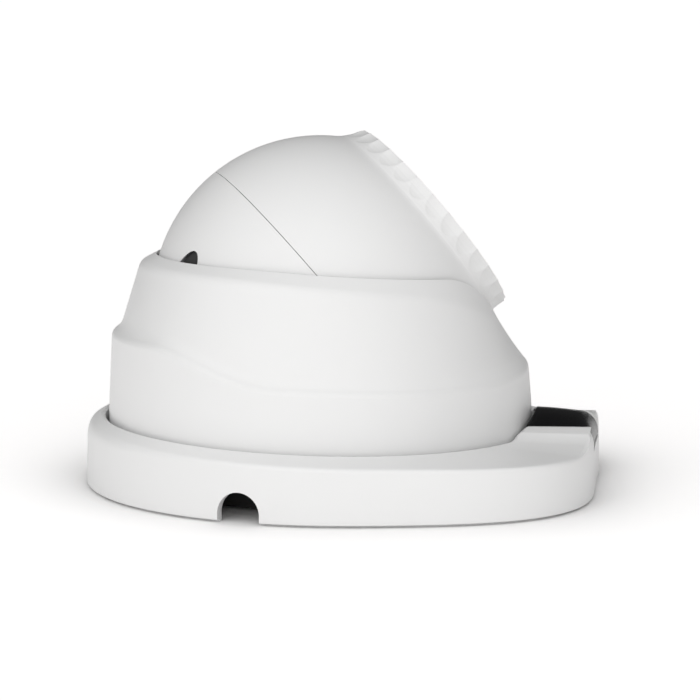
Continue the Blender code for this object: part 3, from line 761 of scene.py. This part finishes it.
def make_trim_cover():
    angles = TAU * np.arange(480) / 480
    off = np.degrees(np.minimum(angles, TAU - angles))
    count = len(angles)
    crease = 28.2 + 0.7 * np.cos(np.radians(3.0 * np.minimum(off, 120.0)))
    crease = crease + 7.7 * smooth((off - 112.0) / 40.0)
    behind = smooth((off - 110.0) / 60.0)
    slant = np.cos(angles)
    rim = 52.75 - 0.07 * 39.5 * slant - 0.85 * behind
    rim -= RIM_SCOOP * (1.0 - smooth(off / SCOOP_HALF))
    edge = 49.3 - 0.1 * 42.6 * slant - 0.85 * behind
    edge -= EDGE_SCOOP * (1.0 - smooth(off / EDGE_HALF))
    edge_r = 42.5 + 0.5 * np.sin(angles) ** 2

    def lip(z):
        return np.sqrt((SOCKET_R + 0.1) ** 2 - (z - BALL_Z) ** 2)

    flat = np.zeros(count)
    corners = [
        (flat + SKIRT_R - 0.1, flat + SKIRT_BOTTOM),
        (flat + SKIRT_R, flat + 18.0),
        (flat + 49.4, crease - 0.6),
        (48.1 - 0.9 * behind, crease + 0.9),
        (edge_r, edge),
        (lip(rim) + 0.6 - 0.45 * behind, rim),
        (lip(rim - 1.2) + 0.2 - 0.1 * behind, rim - 1.2),
        (flat + 41.9, rim - 4.0),
        (flat + 46.0, crease + 0.2),
        (flat + 48.3, crease - 1.4),
        (flat + 48.3, flat + SKIRT_BOTTOM),
    ]
    sections = np.stack([np.stack(c, -1) for c in corners], 1)
    setbacks = [0.6, 4.0, 0.9, 2.2, 1.3, 0.4, 0.3, 0.5, 0.5, 0.5, 0.2]
    sections = fillet(sections, setbacks, 6)
    r, z = sections[..., 0], sections[..., 1]
    turn = angles[:, None]
    grid = np.stack([r * np.cos(turn), r * np.sin(turn), z], -1)
    cover = grid_object("trim_shell", grid, PAN)
    spots = around(TRIM_BOSS_AT, BOSS_ANGLES)
    side = PAN @ Matrix.Translation((0.0, 0.0, 18.0 * MM))
    side = side @ Matrix.Rotation(-math.pi / 2, 4, "X")
    carve(
        cover,
        [
            ("UNION", cylinder("posts", spots, 13.1, 24.0, 4.0, PAN)),
            ("DIFFERENCE", cylinder("holes", spots, 11.5, 21.0, 1.2, PAN)),
            ("DIFFERENCE", cylinder("bore", [(0.0, 0.0)], 46.0, 52.0, 1.9, side)),
        ],
    )
    dress(cover, "turret", "trim_cover", ["trim_cover"])

    socket = [(0.0, 48.4), (0.9, 48.4), (0.9, 49.9), (1.6, 49.9), (1.6, 38.4), (0.0, 38.4)]
    lock = turned("lock_grub", socket, side, 0.12, 48)
    hexagon = prism("hexagon", around(1.02, range(0, 360, 60)), 48.3, 51.0, side)
    carve(lock, [("DIFFERENCE", hexagon)])
    dress(lock, "turret", "lock_screw", ["lock_screw"])


def socket_arc(low, high, count):
    heights = np.linspace(low, high, count)
    return [(math.sqrt(SOCKET_R**2 - (BALL_Z - z) ** 2), z) for z in heights]


def make_turret_inside():
    table = [(47.9, 12.8), (47.9, 10.6), (33.6, 10.6), (33.6, 8.3), (29.5, 8.3), (29.5, 12.8)]
    ring = turned("turntable_ring", table, PAN, 0.35, 192)
    dress(ring, "turret", "turntable", ["turntable"])
    clamp = [(38.5, 8.0), (38.5, 5.8), (29.5, 5.8), (29.5, 8.0)]
    plate = turned("retainer_plate", clamp, PAN, 0.3, 192)
    dress(plate, "turret", "pan_retainer", ["pan_retainer"])
    seat = [(38.0, 22.0), (38.0, 13.1)] + socket_arc(13.1, 22.0, 9)
    dress(turned("seat_cup", seat, PAN, 0.12, 192), "turret", "seat_ring", ["seat_ring"])
    for i, spot in enumerate(around(31.5, (0.0, 120.0, 240.0))):
        head = pan_head(f"retainer_bolt_{i + 1}", spot, PAN, 4.2, 5.5, 11.5, 1.9, 0.9, -1)
        dress(head, "turret", "retainer_screw", [f"retainer_screw_{i + 1}"])


def pan_head(name, spot, matrix, top, neck, tip, head_r, shank_r, facing):
    """A domed screw with a cross recess. facing is +1 where the head looks along +Z."""
    shoulder = top - facing * 0.45
    profile = [
        (0.0, top),
        (head_r * 0.55, top - facing * 0.08),
        (head_r * 0.88, top - facing * 0.26),
        (head_r, shoulder),
        (head_r, neck),
        (shank_r, neck),
        (shank_r, tip),
        (0.0, tip),
    ]
    screw = turned(name, profile, matrix, 0.05, 48, spot)
    wide, deep = head_r * 0.62, head_r * 0.13
    low, high = sorted((top - facing * 0.75, top + facing * 0.5))
    bars = []
    signs = ((-1, -1), (1, -1), (1, 1), (-1, 1))
    for w, h in ((wide, deep), (deep, wide)):
        outline = [(spot[0] + a * w, spot[1] + b * h) for a, b in signs]
        bars.append(("DIFFERENCE", prism("bar", outline, low, high, matrix)))
    return carve(screw, bars)


# ---------------------------------------------------------------- ball


def ball_arc(radius, high, low, count):
    angles = np.linspace(math.asin(high / radius), math.asin(low / radius), count)
    return [(radius * math.cos(a), radius * math.sin(a)) for a in angles]


def lofted(name, profile, setbacks, columns, shape=None):
    """A turned closed skin in the frame of the ball, with an optional change of shape."""
    section = fillet(np.array([profile]), setbacks, 4)[0]
    angles = TAU * np.arange(columns) / columns
    r = np.broadcast_to(section[:, 0], (columns, len(section))).copy()
    s = np.broadcast_to(section[:, 1], r.shape).copy()
    if shape:
        r, s = shape(np.broadcast_to(angles[:, None], r.shape), r, s)
    turn = angles[:, None]
    return grid_object(name, np.stack([r * np.cos(turn), r * np.sin(turn), s], -1), HEAD)


def make_rear_shell():
    floor = REAR_CUT + BALL_R - BALL_IN
    outer_end = ball_arc(BALL_R, REAR_CUT, REAR_CUT, 1)[0]
    inner_end = ball_arc(BALL_IN, floor, floor, 1)[0]
    outside = [(5.3, REAR_CUT), outer_end] + ball_arc(BALL_R, -28.6, SEAM_AT - SEAM_HALF, 34)
    inside = [(BALL_IN, SEAM_AT - SEAM_HALF)] + ball_arc(BALL_IN, -1.5, floor + 0.4, 14)
    inside += [inner_end, (5.3, floor)]
    profile = outside + inside
    setbacks = [0.0] * len(profile)
    setbacks[0] = 0.25
    setbacks[1] = 0.8
    setbacks[len(outside) - 1] = 0.06
    shell = lofted("rear_half", profile, setbacks, 288)
    spots = around(POCKET_AT, [180.0 - a for a in POCKET_ANGLES])
    # The posts stand inside the shell, so they are trimmed to just under its skin.
    posts = cylinder("posts", spots, -30.0, -6.9, 5.8, HEAD, 72)
    under_skin = [(0.0, -29.0)] + ball_arc(39.0, -29.0, -4.0, 24) + [(0.0, -4.0)]
    carve(posts, [("INTERSECT", turned("ball", under_skin, HEAD, 0.0, 144))])
    carve(
        shell,
        [
            ("UNION", posts),
            ("DIFFERENCE", cylinder("pockets", spots, -45.0, -10.0, POCKET_R, HEAD, 72)),
            ("DIFFERENCE", cylinder("shafts", spots, -12.0, -1.6, 1.4, HEAD, 32)),
        ],
    )
    dress(shell, "rear_head", "rear_shell", ["rear_shell"])
    for i, spot in enumerate(spots):
        screw = pan_head(f"rear_bolt_{i + 1}", spot, HEAD, -12.2, -10.3, -2.0, 3.2, 1.05, -1)
        dress(screw, "rear_head", "rear_screw", [f"rear_screw_{i + 1}"])
        plug = cylinder(f"rear_stopper_{i + 1}", [spot], REAR_CUT, PLUG_BACK, PLUG_R, HEAD, 64)
        face = [(0.0, 0.0)] + ball_arc(PLUG_FACE_R, 0.0, -PLUG_FACE_R, 48)
        carve(plug, [("INTERSECT", turned("face", face, HEAD, 0.0, 192))])
        dress(plug, "rear_head", "rear_plug", [f"rear_plug_{i + 1}"])
    gland = [
        (5.0, -22.5),
        (5.0, -31.5),
        (8.2, -31.5),
        (8.2, -33.2),
        (5.6, -34.0),
        (5.0, -34.3),
        (5.0, -36.0),
        (3.3, -36.0),
        (3.3, -22.5),
    ]
    dress(turned("gland_body", gland, HEAD, 0.3, 96), "rear_head", "cable_gland", ["cable_gland"])
    seal = [(7.9, -30.3), (7.9, -31.2), (5.3, -31.2), (5.3, -30.3)]
    dress(turned("gland_washer", seal, HEAD, 0.3, 96), "rear_head", "gland_seal", ["gland_seal"])


def make_front_shell():
    flare = [
        (24.7, 33.8),
        (26.45, 34.2),
        (26.6, 33.2),
        (26.7, 32.2),
        (26.9, 31.2),
        (27.2, 30.2),
        (27.55, 29.2),
    ]
    dense = []
    for (r1, s1), (r2, s2) in zip(flare[1:], flare[2:]):
        for t in np.linspace(0.0, 1.0, 9)[:-1]:
            dense.append((r1 + (r2 - r1) * t, s1 + (s2 - s1) * t))
    outside = flare[:1] + dense + [flare[-1]] + ball_arc(BALL_R, 28.4, SEAM_AT + SEAM_HALF, 36)
    inside = [(BALL_IN, SEAM_AT + SEAM_HALF), (BALL_IN, 1.9), (34.9, 1.9), (34.9, 3.1)]
    inside += list(reversed(ball_arc(BALL_IN, 25.0, 3.1, 12)))
    inside += [(25.4, 27.5), (22.8, 28.2), (22.8, 29.8), (24.6, 29.8)]
    profile = outside + inside
    setbacks = [0.0] * len(profile)
    setbacks[1] = 0.1
    setbacks[len(outside) - 1] = 0.06

    def scooped(turn, r, s):
        phase = np.mod(turn * SCOOPS / TAU, 1.0) - 0.5
        reach = 1.0 - (2.0 * phase) ** 2 - ((SCOOP_TOP - s) / SCOOP_LENGTH) ** 2
        on_outside = (r > 26.0) & (s > 27.0)
        depth = SCOOP_DEPTH * np.clip(reach, 0.0, 1.0) ** 0.8 * on_outside
        # The rim stands a little proud towards the underside of the head.
        share = np.clip((s - 29.0) / 5.2, 0.0, 1.0) * on_outside
        return r - depth + RIM_OFFSET * np.cos(turn) * share, s

    shell = lofted("front_half", profile, setbacks, SCOOPS * 24, scooped)
    dress(shell, "front_head", "front_shell", ["front_shell"])


def head_piece(name, slot, nodes, profile, setback=0.15, steps=128, at=(0.0, 0.0)):
    dress(turned(name, profile, HEAD, setback, steps, at), "front_head", slot, nodes)


def make_front_inside():
    glass = [(0.0, 33.0), (24.2, 33.0), (24.2, 31.2), (0.0, 31.2)]
    head_piece("window_pane", "front_glass", ["front_glass"], glass, 0.3, 192)
    gasket = [(24.2, 30.9), (24.2, 30.1), (22.9, 30.1), (22.9, 30.9)]
    head_piece("window_gasket", "glass_gasket", ["glass_gasket"], gasket, 0.2, 192)
    board = [(24.8, 25.5), (24.8, 24.3), (7.3, 24.3), (7.3, 25.5)]
    head_piece("emitter_board", "led_board", ["led_board"], board, 0.1, 160)
    arc = [math.radians(a) for a in (0, 12, 24, 36, 48, 60, 72, 82)]
    dome = [(0.0, 3.8)] + [(1.75 * math.sin(a) ** 0.9, 2.0 + 1.8 * math.cos(a)) for a in arc[1:]]
    dome += [(1.78, 1.0), (2.3, 0.85), (2.3, 0.0), (0.0, 0.0)]
    turns = [360.0 * (i + 0.5) / LED_COUNT for i in range(LED_COUNT)]
    for i, spot in enumerate(around(LED_AT, turns)):
        lifted = [(r, s + 25.8) for r, s in dome]
        head_piece(f"emitter_{i + 1}", "led", [f"led_{i + 1}"], lifted, 0.0, 40, spot)
    sensor = [(0.0, 27.0), (0.5, 26.95), (1.1, 26.6), (1.1, 25.8), (0.0, 25.8)]
    head_piece("daylight_eye", "light_sensor", ["light_sensor"], sensor, 0.05, 40, (0.0, 20.4))
    baffle = [(9.4, 30.9), (9.4, 25.8), (7.8, 25.8), (7.8, 30.9)]
    head_piece("foam_baffle", "lens_baffle", ["lens_baffle"], baffle, 0.3, 96)
    barrel = [(6.1, 28.2), (6.5, 28.2), (6.9, 27.7), (6.9, 9.5), (4.6, 9.5), (4.6, 26.2)]
    barrel.append((6.1, 26.2))
    head_piece("barrel", "lens_barrel", ["lens_barrel"], barrel, 0.1, 96)
    curve = [(5.8 * t, 29.4 - 2.5 * t * t) for t in np.linspace(0.0, 1.0, 12)]
    element = curve + [(5.8, 26.5), (0.0, 26.5)]
    head_piece("front_element", "lens_element", ["lens_element"], element, 0.0, 96)


# ---------------------------------------------------------------- carried-over nodes


def finish_nodes():
    """Give every CAD node that still shows its procedural material."""
    slots = {row["slot"] for row in frame["record"]["materials"]}
    for name, obj in NODES.items():
        slot = name if name in slots else name.rstrip("0123456789").rstrip("_")
        mesh = obj.data
        mesh.materials.clear()
        mesh.materials.append(MATERIALS[slot])


# ---------------------------------------------------------------- stage

SKY = 0.05
KEY = 1.75
KEY_WAY = (-0.14, -0.78, 0.61)
KEY_POWER = 1.6


def make_world():
    world = bpy.data.worlds.new("studio")
    bpy.context.scene.world = world
    world.use_nodes = True
    net = Nodes(world.node_tree)
    shade = world.node_tree.nodes["Background"]
    way = net.add("TexCoord").outputs["Generated"]
    lobe = net.add("VectorMath", {"operation": "DOT_PRODUCT"})
    net.tree.links.new(way, lobe.inputs[0])
    lobe.inputs[1].default_value = Vector(KEY_WAY).normalized()
    facing = net.math("MAXIMUM", lobe.outputs["Value"], 0.0)
    glow = net.math("MULTIPLY", net.math("POWER", facing, KEY_POWER), KEY)
    glow = net.math("ADD", glow, SKY)
    seen = net.add("LightPath").outputs["Is Camera Ray"]
    level = net.mix(seen, glow, (1.0, 1.0, 1.0, 1.0))
    net.tree.links.new(level, shade.inputs["Color"])
    shade.inputs["Strength"].default_value = 1.0


# The floor's glow fades towards the outline of the base, which paints a contact shadow round it
FLOOR_GLOW = 0.4
PAINTED_SHADOW_REACH = 12.0


def make_floor():
    size = 300.0
    mesh = bpy.data.meshes.new("floor")
    corners = [(-size, -size, 0.0), (size, -size, 0.0), (size, size, 0.0), (-size, size, 0.0)]
    mesh.from_pydata(corners, [], [(0, 1, 2, 3)])
    obj = link("floor", mesh)
    mat, shader, net, place = new_material("pale_floor")
    speck = net.noise(place, 40.0, 2.0)
    tone = net.mix(speck, (0.90, 0.895, 0.89, 1.0), (0.92, 0.915, 0.912, 1.0))
    net.tree.links.new(tone, shader.inputs["Base Color"])
    # The floor glows softly, and the glow dies out under and near the object: a painted contact shadow.
    centre = net.add("Mapping", Vector=place, Location=-PAN.translation)
    flat = net.add("SeparateXYZ", Vector=centre.outputs["Vector"]).outputs
    angle = net.math("ARCTAN2", flat["Y"], flat["X"])
    angle = net.math("SUBTRACT", angle, math.radians(BASE_YAW))
    across = net.math("MULTIPLY", flat["Y"], flat["Y"])
    across = net.math("ADD", across, net.math("MULTIPLY", flat["X"], flat["X"]))
    away = net.math("SQRT", across)
    for k, size in enumerate(OUTLINE):
        wave = net.math("COSINE", net.math("MULTIPLY", angle, float(k)))
        away = net.math("SUBTRACT", away, net.math("MULTIPLY", wave, size * MM))
    away = net.math("MAXIMUM", away, 0.0)
    # Painted contact shadow: the glow fades out towards the outline of the base
    painted_shadow = net.math("EXPONENT", net.math("MULTIPLY", away, -1.0 / (PAINTED_SHADOW_REACH * MM)))
    glow = net.math("MULTIPLY", net.math("SUBTRACT", 1.0, painted_shadow), FLOOR_GLOW)
    shader.inputs["Roughness"].default_value = 0.7
    shader.inputs["Specular IOR Level"].default_value = 0.0
    shader.inputs["Emission Color"].default_value = (1.0, 0.985, 0.985, 1.0)
    net.tree.links.new(glow, shader.inputs["Emission Strength"])
    mesh.materials.append(mat)


CAMERA_FROM_PAN = (7.0, -594.2, 114.5)
CAMERA_PITCH = 8.0
LENS = 129.6


def make_camera():
    data = bpy.data.cameras.new("camera")
    data.lens = LENS
    data.sensor_width = 36.0
    data.clip_start = 0.01
    data.clip_end = 2000.0
    obj = bpy.data.objects.new("camera", data)
    bpy.context.scene.collection.objects.link(obj)
    # The camera stands off from the pan axis.
    obj.location = PAN.translation + Vector(CAMERA_FROM_PAN) * MM
    obj.rotation_euler = (math.radians(90.0 - CAMERA_PITCH), 0.0, 0.0)
    bpy.context.scene.camera = obj


scene = bpy.context.scene
scene.view_settings.view_transform = "Standard"
scene.view_settings.look = "None"

make_camera()
make_world()
make_floor()
make_base()
make_painted_shade_sheet()
make_nose_window()
make_trim_cover()
make_turret_inside()
make_rear_shell()
make_front_shell()
make_front_inside()
finish_nodes()

bpy.context.view_layer.update()
